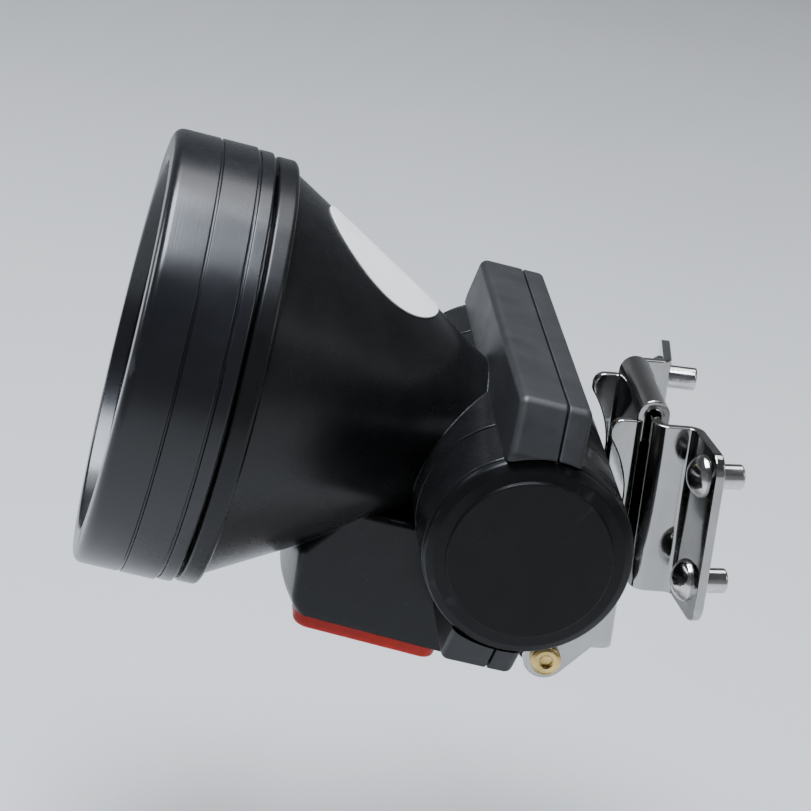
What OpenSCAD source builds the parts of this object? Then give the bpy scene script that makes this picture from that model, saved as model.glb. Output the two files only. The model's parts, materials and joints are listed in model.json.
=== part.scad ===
// Cordless miner's cap lamp on a riveted helmet bracket.
// Frame: +X forward out of the helmet, +Y the wearer's left, +Z up.
// Origin: centre of the four rivet axes where they leave the bracket's helmet side.

/* [Helmet bracket] */
// Height of the bracket plate
bracket_h = 22.4; // [18:0.2:23]
// Thickness of the bracket steel
bracket_t = 1.2; // [1:0.1:1.2]
// Outer half width of the channel
channel_half = 12.9; // [12:0.1:14]
// Distance from the rivet points to the bridge's front face
bridge_x = 6.9; // [6.6:0.1:8]
// Distance from the centre line to the end of a wing
wing_end = 22.8; // [21.9:0.1:26]
// Angle that a wing sweeps back to follow the helmet
wing_sweep = 7; // [5:1:12]
// Distance from the centre line to a rivet
rivet_y = 17.8; // [17.2:0.1:18]
// Half of the height between the rivets of a wing
rivet_z = 7.05; // [5:0.05:8]
// Radius of a rivet shank
rivet_r = 1.6; // [1.2:0.1:2]
// Radius of a rivet's domed head
rivet_head_r = 2.7; // [2.6:0.05:3.2]
// Length of shank behind the wing, before riveting
rivet_grip = 4; // [3:0.5:6]
// Radius of the swelled shank inside the wing
rivet_swell_r = 2; // [1.95:0.05:2.2]

/* [Hanger] */
// Half width of the hook strip
hook_half = 8.5; // [7:0.1:8.7]
// Outer half width across the cheeks
cheek_half = 9; // [8.9:0.1:9.2]
// Thickness of the hanger steel
hanger_t = 1.2; // [1:0.1:1.2]
// Depth of the rear leg below the hook's bend
hook_leg = 14; // [8:1:18]
// Height of the hook's seat above the bracket
hook_seat = 0.5; // [0.3:0.1:1.2]
// Height of the cheeks' top edge
cheek_top = 10.2; // [8:0.1:10.4]
// Height of the back plate's bottom edge
plate_bottom = -21.6; // [-24:0.1:-18]

/* [Tilt pivot] */
// Forward distance of the pivot
pivot_x = 15.8; // [15.5:0.1:16]
// Height of the pivot
pivot_z = -23.5; // [-24.2:0.1:-23.3]
// Radius of the pivot screw's shank
pivot_r = 1.3; // [1.2:0.1:1.4]
// Upward tilt of the lamp at rest
rest_tilt = 9.4; // [8:0.1:10]

/* [Battery drum] */
// Forward distance of the drum's axis
drum_x = 23; // [23:0.1:23.5]
// Height of the drum's axis
drum_z = -0.7; // [-1:0.1:0]
// Outer radius of the drum
drum_r = 12.8; // [12.6:0.1:12.9]
// Inner radius of the drum
drum_bore_r = 11.1; // [10.8:0.1:11.2]
// Distance from the middle to the joint with an end cap
cap_joint_y = 28.1; // [27.8:0.1:28.4]
// Distance from the middle to an end cap's face
cap_face_y = 30.4; // [30.2:0.1:31]
// Radius of an end cap's flat face
cap_face_r = 10; // [9:0.1:11]
// Distance from the middle to the ring groove
drum_groove_y = 17.4; // [15:0.1:20]
// Radius of the battery cell
cell_r = 9.15; // [8.8:0.05:9.2]

/* [Joint flange] */
// Front face of the flange, from the drum's axis
flange_front = 6.2; // [5.8:0.1:6.6]
// Rear face of the flange, behind the drum's axis
flange_rear = -2.9; // [-3.2:0.1:-2.8]
// Height of the flange above the drum's axis
flange_top = 18.8; // [18.4:0.1:19.4]
// Depth of the flange below the drum's axis
flange_bottom = -16.7; // [-17.2:0.1:-16.6]
// Half width of the flange
flange_half = 30; // [29.8:0.1:30.2]

/* [Lamp head] */
// Height of the beam axis above the drum's axis
beam_z = 4.05; // [3.8:0.05:4.3]
// Joint plane between housing and bezel
bezel_joint_x = 39; // [38.8:0.1:39.2]
// Front rim of the bezel
rim_x = 51.7; // [51.5:0.1:52.5]
// Largest radius of the bezel
bezel_r = 28.1; // [28:0.1:28.6]
// Radius of the window in the bezel
window_r = 23.8; // [23:0.1:24]
// Thickness of the lens
lens_t = 2; // [1.5:0.1:2.1]

/* [Switch pod] */
// Half width of the pod
pod_half = 12.2; // [12:0.1:12.5]
// Underside of the pod, below the drum's axis
pod_bottom = -22.4; // [-22.6:0.1:-22.2]
// Front wall of the pod
pod_front = 24.7; // [24.4:0.1:25]
// Height that the push pad stands out
pad_proud = 2.3; // [1.5:0.1:2.5]
// Travel of the push pad
pad_travel = 1; // [0.5:0.1:1]

/* [Hidden] */
$fn = 96;
eps = 0.01;
big = 120;
bend_in = 0.8;
bend_out = bend_in + bracket_t;
wing_bend_y = channel_half + bend_in;
wing_bend_x = (bend_out + sin(wing_sweep) * (rivet_y - wing_bend_y)) / cos(wing_sweep);
wing_tip = (wing_end - rivet_y) / cos(wing_sweep);
wing_corner_r = 2.5;
split_x = 0.3;
seal_t = 0.5;
front_x = split_x + seal_t / 2;
rear_x = split_x - seal_t / 2;
seal_inset = 0.7;
flange_cut_y = 3.4;
flange_cut_z = 6.2;
cap_gap = 0.1;
drum_clear_r = 14.2;
cheek_in = cheek_half - hanger_t;
hook_gap = 0.3;
hook_front = bridge_x + hook_gap;
hook_back = bridge_x - bracket_t - hook_gap;
hook_mid_x = (hook_front + hook_back) / 2;
hook_in_r = (hook_front - hook_back) / 2;
hook_out_r = hook_in_r + hanger_t;
hook_bend_z = bracket_h / 2 + hook_seat - hook_in_r;
lug_r = 2.9;
lug_half = 6.8;
bush_r = 2.1;
washer_r = 2.7;
nut_r = 2.7;
running_gap = 0.05;
pivot_offset = [pivot_x - drum_x, pivot_z - drum_z];
eye = [
    pivot_offset[0] * cos(rest_tilt) + pivot_offset[1] * sin(rest_tilt),
    pivot_offset[1] * cos(rest_tilt) - pivot_offset[0] * sin(rest_tilt)
];
cone_wall = 2.2;
spigot_r = 25.2;
spigot_in_r = 23.2;
spigot_x = 46;
ring_r = 27.6;
ring_back_x = 35.8;
cavity_x = 10.2;
sink_r = 8.4;
sink_t = 4;
board_t = 1.6;
board_x = cavity_x + sink_t;
led_x = board_x + board_t;
mirror_vertex = 16.5;
mirror_edge_r = 22.4;
mirror_four_f = mirror_edge_r * mirror_edge_r / (spigot_x - mirror_vertex);
mirror_hole_r = 4;
mirror_t = 0.75;
seat_t = 0.8;
lens_x = spigot_x + 2 * seat_t;
lens_r = 25.3;
screw_sites = [[23, 15.7], [-23, 15.7], [23, -14.75], [-23, -14.75]];
screw_r = 1;
screw_head_r = 1.75;
contact_y = 8;
contact_z = 15.7;
pad_gap = 0.4;
pad_rear = 3.6;
pad_front = 22.6;
pad_half = 11.2;
recess_top = pod_bottom + 2.5;
pad_top = recess_top - pad_travel - 0.3;
pod_cavity_low = recess_top + 1.5;
pod_cavity_high = -13.6;
pod_cavity_rear = 6.8;
pod_cavity_front = 21.6;
pod_cavity_half = 9.8;
pcb_t = 1;
pcb_low = pod_cavity_high - 0.3 - pcb_t;
switch_x = 14;
switch_h = 3;
plunger_r = 1.6;
plunger_low = pcb_low - switch_h - 1;
stem_r = 2.2;
cell_base = -24.6;
cell_top = 24;
terminal_h = 1;
tab_t = 0.3;
cap_inner_y = cap_joint_y - 0.4;
guard_t = 1;
guard_y = cell_base - tab_t - guard_t;
wire_x = 7.6;
wire_z = -6.9;
wire_r = 0.5;
led_wire_x = led_x + 0.65;

// Cone of the front housing: distance along the beam and radius.
cone_line = [[4, 8], [8.8, 10.6], [14.4, 14.3], [31, 23.6], [ring_back_x, 26.2]];
// Cavity inside the cone, in the same terms.
cavity_line = [[cavity_x, 8.6], [14.4, 12], [31, 21.2], [38, spigot_in_r], [spigot_x + 1, spigot_in_r]];

// ---- placing helpers ----
module at_drum() { translate([drum_x, 0, drum_z]) rotate([0, -rest_tilt, 0]) children(); }
module about_beam() { translate([0, 0, beam_z]) rotate([0, 90, 0]) children(); }
module spun(points) { about_beam() rotate_extrude() polygon([for (p = points) [p[1], p[0]]]); }
module rod_x(x, y, z, r, len) { translate([x, y, z]) rotate([0, 90, 0]) cylinder(r = r, h = len); }
module rod_y(x, y, z, r, len) { translate([x, y, z]) rotate([-90, 0, 0]) cylinder(r = r, h = len); }
module block(low, high) { translate(low) cube(high - low); }
module both_sides() { children(); mirror([0, 1, 0]) children(); }
// An outline drawn in x and z, as a plate between two y values.
module plate_y(y0, y1) { translate([0, y1, 0]) rotate([90, 0, 0]) linear_extrude(y1 - y0) children(); }

// ---- helmet bracket ----
module wing_place() { translate([0, rivet_y, 0]) rotate([0, 0, wing_sweep]) children(); }
module both_y() { children(); mirror([0, 1]) children(); }

function wing_point(depth, along) = [
    depth * cos(wing_sweep) - along * sin(wing_sweep),
    rivet_y + depth * sin(wing_sweep) + along * cos(wing_sweep)
];
function bend_point(r, angle) = [wing_bend_x - r * sin(angle), wing_bend_y - r * cos(angle)];

// A side leg and its wing, drawn from above as one strip.
module arm_outline(leg_x) {
    turns = 9;
    bend = 90 - wing_sweep;
    polygon(concat(
        [[leg_x, channel_half]],
        [for (i = [0:turns]) bend_point(bend_in, bend * i / turns)],
        [wing_point(bracket_t, wing_tip), wing_point(0, wing_tip)],
        [for (i = [turns:-1:0]) bend_point(bend_out, bend * i / turns)],
        [[leg_x, channel_half - bracket_t]]
    ));
}

module bracket_outline() {
    corner = [bridge_x - bend_out, channel_half - bend_out];
    translate([bridge_x - bracket_t, -corner[1]]) square([bracket_t, 2 * corner[1]]);
    both_y() {
        translate(corner) intersection() {
            difference() { circle(bend_out); circle(bend_in); }
            square(bend_out + 1);
        }
        arm_outline(corner[0]);
    }
}

module wing_corners() {
    corner_in = 0.94 * wing_corner_r;
    side_y = wing_tip - corner_in;
    side_z = bracket_h / 2 - corner_in;
    reach = wing_corner_r + 1;
    for (side = [0, 1]) mirror([0, 0, side]) difference() {
        translate([-1, side_y, side_z]) cube([bracket_t + 2, reach, reach]);
        rod_x(-2, side_y, side_z, wing_corner_r, bracket_t + 4);
    }
}

module bracket_plate() {
    color("silver") difference() {
        translate([0, 0, -bracket_h / 2]) linear_extrude(bracket_h) bracket_outline();
        both_sides() wing_place() {
            wing_corners();
            for (z = [-rivet_z, rivet_z]) rod_x(-2, 0, z, rivet_swell_r, bracket_t + 4);
        }
    }
}

module rivet() {
    head_h = 1.9;
    rim_h = 0.3;
    dome_h = head_h - rim_h;
    ball_r = (rivet_head_r * rivet_head_r + dome_h * dome_h) / (2 * dome_h);
    reach = asin(rivet_head_r / ball_r);
    top = bracket_t + head_h;
    rotate([0, 90, 0]) rotate_extrude() polygon(concat(
        [[0, -rivet_grip], [rivet_r, -rivet_grip], [rivet_r, 0], [rivet_swell_r, 0]],
        [[rivet_swell_r, bracket_t], [rivet_head_r, bracket_t]],
        [for (i = [8:-1:1]) [ball_r * sin(reach * i / 8), top - ball_r + ball_r * cos(reach * i / 8)]],
        [[0, top]]
    ));
}

module bracket_rivets() {
    color("gainsboro") both_sides() wing_place() for (z = [-rivet_z, rivet_z])
        translate([0, 0, z]) rivet();
}

// ---- hanger ----
module hook_outline() {
    translate([hook_front, plate_bottom]) square([hanger_t, hook_bend_z - plate_bottom]);
    translate([hook_back - hanger_t, hook_bend_z - hook_leg]) square([hanger_t, hook_leg]);
    translate([hook_mid_x, hook_bend_z]) intersection() {
        difference() { circle(hook_out_r); circle(hook_in_r); }
        translate([-big, 0]) square(2 * big);
    }
}

module cheek_outline() {
    wide = 4.4;
    tall = cheek_top - plate_bottom;
    top_x = hook_front + wide;
    foot_x = hook_front + 2.8;
    nose = 1.5;
    waist_z = -12;
    difference() {
        union() {
            translate([hook_front, plate_bottom]) square([wide - nose, tall]);
            translate([hook_front, plate_bottom]) square([wide, tall - nose]);
            translate([top_x - nose, cheek_top - nose]) circle(nose);
            polygon([
                [hook_front, plate_bottom], [foot_x, plate_bottom],
                [pivot_x - 0.8 * lug_r, pivot_z - 0.6 * lug_r], [pivot_x + lug_r, pivot_z],
                [drum_x - 5.5, drum_z - 13], [hook_front, waist_z]
            ]);
            translate([pivot_x, pivot_z]) circle(lug_r);
        }
        translate([drum_x, drum_z]) circle(drum_clear_r);
    }
}

module hanger_plate() {
    color("lightgray") difference() {
        union() {
            plate_y(-hook_half, hook_half) hook_outline();
            plate_y(-cheek_half, cheek_half) translate([hook_front, plate_bottom])
                square([hanger_t, cheek_top - plate_bottom]);
            plate_y(cheek_in, cheek_half) cheek_outline();
            plate_y(-cheek_half, -cheek_in) cheek_outline();
        }
        rod_y(pivot_x, -big / 2, pivot_z, pivot_r + running_gap, big);
    }
}

module pivot_screw() {
    head_r = 2;
    head_t = 1.3;
    socket_r = 0.9;
    socket_depth = 0.8;
    tip = 3.2;
    color("goldenrod") difference() {
        union() {
            rod_y(pivot_x, -cheek_half - tip, pivot_z, pivot_r, 2 * cheek_half + tip);
            rod_y(pivot_x, cheek_half, pivot_z, head_r, head_t);
        }
        translate([pivot_x, cheek_half + head_t - socket_depth, pivot_z]) rotate([-90, 0, 0])
            cylinder(r = socket_r, h = 2, $fn = 6);
    }
}

module pivot_nut() {
    color("silver") difference() {
        translate([pivot_x, -cheek_half, pivot_z]) rotate([90, 0, 0]) cylinder(r = nut_r, h = 2.4, $fn = 6);
        rod_y(pivot_x, -big / 2, pivot_z, pivot_r, big);
    }
}

module pivot_washers() {
    inner_y = lug_half + 0.2;
    color("white") both_sides() difference() {
        rod_y(pivot_x, inner_y, pivot_z, washer_r, cheek_in - inner_y);
        rod_y(pivot_x, 0, pivot_z, pivot_r, big);
    }
}

// ---- housing ----
module flange_outline(inset = 0) {
    w = flange_half - inset;
    top = flange_top - inset;
    low = flange_bottom + inset;
    cut_y = w - flange_cut_y;
    polygon([
        [cut_y, top], [w, top - flange_cut_z], [w, low + flange_cut_z], [cut_y, low],
        [-cut_y, low], [-w, low + flange_cut_z], [-w, top - flange_cut_z], [-cut_y, top]
    ]);
}

module flange(x0, x1, inset = 0) {
    translate([x0, 0, 0]) rotate([90, 0, 90]) linear_extrude(x1 - x0) flange_outline(inset);
}

module drum_shape() {
    groove_w = 0.5;
    groove_d = 0.4;
    difference() {
        rod_y(0, -cap_joint_y, 0, drum_r, 2 * cap_joint_y);
        both_sides() difference() {
            rod_y(0, drum_groove_y - groove_w / 2, 0, drum_r + 1, groove_w);
            rod_y(0, drum_groove_y - groove_w, 0, drum_r - groove_d, 2 * groove_w);
        }
    }
}

module drum_space() {
    rod_y(0, -cap_joint_y - 1, 0, drum_bore_r, 2 * cap_joint_y + 2);
    both_sides() rod_y(0, cap_joint_y, 0, drum_r + cap_gap, 10);
}

module pod_outline() {
    r = 3;
    shoulder = -13;
    draft = 1.2;
    top = -5;
    translate([front_x, pod_bottom]) square([pod_front - r - front_x, top - pod_bottom]);
    polygon([
        [front_x, pod_bottom + r], [pod_front, pod_bottom + r],
        [pod_front + draft, shoulder], [pod_front - r, top], [front_x, top]
    ]);
    translate([pod_front - r, pod_bottom + r]) circle(r);
}

module cone_shape() {
    ring_edge = 0.9;
    spun(concat(
        [[cone_line[0][0], 0]], cone_line,
        [
            [ring_back_x, ring_r - ring_edge], [ring_back_x + ring_edge, ring_r],
            [bezel_joint_x - 0.5, ring_r], [bezel_joint_x - 0.5, spigot_r],
            [spigot_x, spigot_r], [spigot_x, 0]
        ]
    ));
}

module pod_cavity() {
    block(
        [pod_cavity_rear, -pod_cavity_half, pod_cavity_low],
        [pod_cavity_front, pod_cavity_half, pod_cavity_high]
    );
}

module pad_recess() {
    half = pad_half + pad_gap;
    block([pad_rear - pad_gap, -half, pod_bottom - 1], [pad_front + pad_gap, half, recess_top]);
}

module front_housing() {
    color([0.05, 0.05, 0.06]) at_drum() difference() {
        union() {
            cone_shape();
            intersection() {
                drum_shape();
                block([front_x, -big, -big], [big, big, big]);
            }
            flange(front_x, flange_front);
            difference() {
                plate_y(-pod_half, pod_half) pod_outline();
                spun([[0, 0], [0, 6], [31, 22], [31, 0]]);
            }
        }
        spun(concat([[cavity_x, 0]], cavity_line, [[spigot_x + 1, 0]]));
        block([-big, -big, -big], [front_x, big, big]);
        drum_space();
        pod_cavity();
        pad_recess();
        translate([switch_x, 0, recess_top - 1]) cylinder(r = stem_r + pad_gap, h = 4);
        for (s = screw_sites) rod_x(0, s[0], s[1], screw_r, 5.2);
        for (y = [-3, 3]) translate([wire_x, y, pod_cavity_high - 1]) cylinder(r = 1, h = 7);
        for (y = [-2, 2]) translate([led_wire_x, y, pod_cavity_high - 1]) cylinder(r = 1, h = 9);
    }
}

module rear_cover() {
    color([0.05, 0.05, 0.06]) at_drum() difference() {
        union() {
            intersection() {
                drum_shape();
                block([-big, -big, -big], [rear_x, big, big]);
            }
            flange(flange_rear, rear_x);
            plate_y(-lug_half, lug_half) union() {
                translate(eye) circle(lug_r);
                polygon([
                    eye + lug_r * [-0.93, 0.37], [-9.5, -8], [rear_x, -11.5], [rear_x, flange_bottom],
                    eye + lug_r * [0.62, -0.78]
                ]);
            }
        }
        drum_space();
        rod_y(eye[0], -big / 2, eye[1], bush_r, big);
        for (s = screw_sites) {
            rod_x(flange_rear - 1, s[0], s[1], screw_r, 5);
            rod_x(flange_rear - 1, s[0], s[1], screw_head_r + 0.1, 2.4);
        }
        for (y = [-contact_y, contact_y]) {
            rod_x(flange_rear - 1, y, contact_z, 2, 1.6);
            rod_x(flange_rear - 1, y, contact_z, 0.9, 3);
        }
    }
}

module pivot_bush() {
    color("goldenrod") at_drum() difference() {
        rod_y(eye[0], -lug_half, eye[1], bush_r, 2 * lug_half);
        rod_y(eye[0], -big / 2, eye[1], pivot_r + running_gap, big);
    }
}

module housing_seals() {
    color("dimgray") at_drum() difference() {
        flange(rear_x, front_x, seal_inset);
        block([-1, -big, -drum_bore_r - 0.5], [2, big, drum_bore_r + 0.5]);
        drum_space();
        for (s = screw_sites) rod_x(-1, s[0], s[1], screw_r, 3);
    }
}

module cover_screws() {
    head_t = 1.3;
    shank = 6.4;
    color("silver") at_drum() for (s = screw_sites) difference() {
        union() {
            rod_x(flange_rear + 0.1, s[0], s[1], screw_head_r, head_t);
            rod_x(flange_rear + 0.1, s[0], s[1], screw_r, head_t + shank);
        }
        for (a = [0, 90]) translate([flange_rear, s[0], s[1]]) rotate([a, 0, 0])
            block([-1, -1.1, -0.2], [0.7, 1.1, 0.2]);
    }
}

module drum_cap() {
    lip_t = 0.1;
    spigot_len = 2.3;
    rotate([-90, 0, 0]) rotate_extrude() polygon([
        [0, cap_inner_y], [0, cap_face_y], [cap_face_r, cap_face_y], [cap_face_r + 0.25, cap_face_y - 0.15],
        [11.6, cap_face_y - 0.7], [12.45, cap_face_y - 1.4], [drum_r, cap_joint_y + 0.2],
        [drum_r, cap_joint_y + lip_t], [drum_bore_r - 0.05, cap_joint_y + lip_t],
        [drum_bore_r - 0.05, 27.5], [10.4, 27.5], [10.4, 26.7], [drum_bore_r - 0.05, 26.7],
        [drum_bore_r - 0.05, cap_joint_y - spigot_len], [9.7, cap_joint_y - spigot_len], [9.7, cap_inner_y]
    ]);
}

module left_drum_cap() { color([0.06, 0.06, 0.07]) at_drum() drum_cap(); }
module right_drum_cap() { color([0.06, 0.06, 0.07]) at_drum() mirror([0, 1, 0]) drum_cap(); }

module drum_cap_seals() {
    color("dimgray") at_drum() both_sides() difference() {
        rod_y(0, 26.7, 0, drum_bore_r, 0.8);
        rod_y(0, 26, 0, 10.4, 2);
    }
}

module charge_contacts() {
    color("goldenrod") at_drum() for (y = [-contact_y, contact_y]) {
        rod_x(flange_rear - 0.4, y, contact_z, 2, 1);
        rod_x(flange_rear + 0.5, y, contact_z, 0.9, 1.4);
    }
}

module top_label() {
    thick = 0.25;
    slope = (cone_line[3][1] - cone_line[2][1]) / (cone_line[3][0] - cone_line[2][0]);
    rear = [cone_line[2][0] - 0.9, cone_line[2][1] - 0.9 * slope];
    front = [cone_line[3][0] + 1, cone_line[3][1] + slope];
    color("white") at_drum() intersection() {
        spun([rear, front, front + [0, thick], rear + [0, thick]]);
        translate([22.7, 0, 0]) cylinder(r = 8.3, h = big);
    }
}

// ---- light ----
module bezel_ring() {
    line_w = 0.3;
    line_d = 0.3;
    back = bezel_joint_x;
    step_x = 40.8;
    band_x = 45.6;
    in_r = spigot_r + 0.1;
    color([0.07, 0.07, 0.08]) at_drum() spun([
        [back, in_r], [back, bezel_r - 0.4], [back + 0.2, bezel_r - 0.2], [step_x, bezel_r - 0.2],
        [step_x, bezel_r - 0.5], [step_x + line_w, bezel_r - 0.5], [step_x + line_w, bezel_r],
        [band_x, bezel_r], [band_x, bezel_r - line_d], [band_x + line_w, bezel_r - line_d],
        [band_x + line_w, bezel_r], [47.9, bezel_r], [49.2, bezel_r - 0.5], [50.3, bezel_r - 1.5],
        [51.1, bezel_r - 2.6], [rim_x - 0.15, bezel_r - 3.6], [rim_x, bezel_r - 3.9],
        [rim_x - 0.1, window_r + 0.2], [rim_x - 0.4, window_r], [lens_x + lens_t, window_r],
        [lens_x + lens_t, lens_r], [spigot_x, lens_r], [spigot_x, in_r]
    ]);
}

module lens() {
    color([0.85, 0.9, 0.95, 0.4]) at_drum() about_beam() translate([0, 0, lens_x])
        cylinder(r = lens_r, h = lens_t);
}

module lens_seal() {
    color("dimgray") at_drum() about_beam() translate([0, 0, spigot_x + seat_t]) difference() {
        cylinder(r = lens_r, h = seat_t);
        translate([0, 0, -1]) cylinder(r = spigot_in_r, h = 3);
    }
}

function mirror_x(r) = mirror_vertex + r * r / mirror_four_f;

module reflector() {
    steps = 12;
    radii = [for (i = [0:steps]) mirror_hole_r + (mirror_edge_r - mirror_hole_r) * i / steps];
    color("whitesmoke") at_drum() spun(concat(
        [for (r = radii) [mirror_x(r), r]],
        [[spigot_x + seat_t, mirror_edge_r + 0.2], [spigot_x + seat_t, 24.8], [spigot_x, 24.8]],
        [for (i = [steps:-1:0]) [mirror_x(radii[i]), radii[i] + mirror_t]]
    ));
}

module heat_sink() {
    color("darkgray") at_drum() difference() {
        rod_x(cavity_x, 0, beam_z, sink_r, sink_t);
        for (y = [-6, 6]) rod_x(cavity_x + 1, y, beam_z, 0.9, sink_t);
        for (z = [-4.5, -1.5, 1.5, 4.5])
            block([cavity_x - 1, -big, beam_z + z - 0.6], [cavity_x + 1, big, beam_z + z + 0.6]);
    }
}

module led_board() {
    notch_r = 1.6;
    color("white") at_drum() difference() {
        rod_x(board_x, 0, beam_z, 8, board_t);
        for (a = [30:60:330]) translate([0, 0, beam_z]) rotate([a, 0, 0])
            rod_x(board_x - 1, 0, 8, notch_r, 4);
        for (y = [-6, 6]) rod_x(board_x - 1, y, beam_z, 0.9, 4);
    }
}

module main_led() {
    half = 1.75;
    base_t = 0.9;
    color("lightyellow") at_drum() union() {
        block([led_x, -half, beam_z - half], [led_x + base_t, half, beam_z + half]);
        intersection() {
            translate([led_x + base_t, 0, beam_z]) sphere(1.6);
            rod_x(led_x + base_t - 0.1, 0, beam_z, 2, 3);
        }
    }
}

module led_screws() {
    color("silver") at_drum() for (y = [-6, 6]) difference() {
        union() {
            rod_x(led_x, y, beam_z, 1.4, 1);
            rod_x(cavity_x + 1, y, beam_z, 0.9, led_x - cavity_x - 0.5);
        }
        for (a = [0, 90]) translate([led_x + 1, y, beam_z]) rotate([a, 0, 0])
            block([-0.5, -0.9, -0.15], [1, 0.9, 0.15]);
    }
}

module led_leads() {
    color("firebrick") at_drum() for (y = [-2, 2]) translate([led_wire_x, y, pod_cavity_high - 0.3])
        cylinder(r = wire_r, h = 10.4);
}

// ---- battery ----
module battery_cell() {
    neck_y = cell_top - 2.4;
    neck_r = cell_r - 0.7;
    edge = 0.5;
    color("royalblue") at_drum() rotate([-90, 0, 0]) rotate_extrude() polygon([
        [0, cell_base], [cell_r - edge, cell_base], [cell_r, cell_base + edge],
        [cell_r, neck_y - 0.8], [neck_r, neck_y - 0.4], [neck_r, neck_y + 0.2], [cell_r, neck_y + 0.6],
        [cell_r, cell_top - edge], [cell_r - edge, cell_top], [0, cell_top]
    ]);
}

module cell_terminal() { color("silver") at_drum() rod_y(0, cell_top, 0, 3.2, terminal_h); }

module cell_tabs() {
    half = 2.5;
    reach = 9.2;
    high = cell_top + terminal_h;
    color("silver") at_drum() {
        block([-half, high, -half], [reach, high + tab_t, half]);
        block([-half, cell_base - tab_t, -half], [reach, cell_base, half]);
    }
}

module cell_pads() {
    pad_r = 8.6;
    high = cell_top + terminal_h + tab_t;
    color("khaki") at_drum() {
        rod_y(0, high, 0, pad_r, cap_inner_y - high);
        rod_y(0, -cap_inner_y, 0, pad_r, cap_inner_y + guard_y);
    }
}

module protection_board() { color("darkgreen") at_drum() rod_y(0, guard_y, 0, 8.8, guard_t); }

module battery_leads() {
    side_y = 3;
    end_y = cell_top + terminal_h - 0.1;
    drop = wire_z - (pod_cavity_high - 0.3);
    color("firebrick") at_drum() for (side = [1, -1]) {
        rod_y(wire_x, side > 0 ? side_y : -end_y, wire_z, wire_r, end_y - side_y);
        translate([wire_x, side * side_y, wire_z]) sphere(wire_r);
        translate([wire_x, side * side_y, wire_z - drop]) cylinder(r = wire_r, h = drop);
    }
}

// ---- switch pod ----
module driver_board() {
    color("darkgreen") at_drum() difference() {
        block([pod_cavity_rear + 0.2, -9.4, pcb_low], [pod_cavity_front - 0.2, 9.4, pcb_low + pcb_t]);
        for (y = [-8.2, 8.2]) translate([20.4, y, pcb_low - 1]) cylinder(r = 0.6, h = 3);
    }
}

module driver_parts() {
    color([0.12, 0.12, 0.13]) at_drum() {
        translate([18.6, 5.6, pcb_low - 2.2]) cylinder(r = 2.2, h = 2.2);
        block([17.2, -7.6, pcb_low - 1.4], [20.4, -3.6, pcb_low]);
        for (i = [0:3]) block([7.8, -7.4 + 4.2 * i, pcb_low - 0.9], [9, -5.2 + 4.2 * i, pcb_low]);
    }
}

module switch_body() {
    half = 3;
    color([0.1, 0.1, 0.1]) at_drum() difference() {
        block([switch_x - half, -half, pcb_low - switch_h], [switch_x + half, half, pcb_low]);
        translate([switch_x, 0, pcb_low - switch_h - 1]) cylinder(r = plunger_r + 0.3, h = switch_h + 0.4);
    }
}

module switch_plunger() {
    color("ivory") at_drum() translate([switch_x, 0, plunger_low]) cylinder(r = plunger_r, h = 2);
}

module pad_outline(half_x, half_y, r) {
    square([2 * (half_x - r), 2 * half_y], center = true);
    square([2 * half_x, 2 * (half_y - r)], center = true);
    for (x = [-1, 1], y = [-1, 1]) translate([x * (half_x - r), y * (half_y - r)]) circle(r);
}

module push_pad() {
    mid = (pad_front + pad_rear) / 2;
    half_x = (pad_front - pad_rear) / 2;
    low = pod_bottom - pad_proud;
    color([0.72, 0.08, 0.05]) at_drum() {
        translate([mid, 0, low]) linear_extrude(pad_top - low) pad_outline(half_x, pad_half, 2);
        translate([switch_x, 0, pad_top - eps]) cylinder(r = stem_r, h = plunger_low - pad_top + eps);
    }
}

bracket_plate();
bracket_rivets();
hanger_plate();
pivot_screw();
pivot_nut();
pivot_washers();
front_housing();
rear_cover();
pivot_bush();
housing_seals();
cover_screws();
left_drum_cap();
right_drum_cap();
drum_cap_seals();
charge_contacts();
top_label();
bezel_ring();
lens();
lens_seal();
reflector();
heat_sink();
led_board();
main_led();
led_screws();
led_leads();
battery_cell();
cell_terminal();
cell_tabs();
cell_pads();
protection_board();
battery_leads();
driver_board();
driver_parts();
switch_body();
switch_plunger();
push_pad();
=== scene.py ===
"""Looks of a cordless miner's cap lamp on its riveted helmet bracket.

Shapes are drawn in millimetres, either in the part's own frame (PART) or in the lamp
head's frame (HEAD: origin on the drum's axis, +X along the beam, +Y left, +Z up), and
then placed in metres.
"""
import json
import math

import bmesh
import bpy
from mathutils import Matrix, Vector


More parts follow.
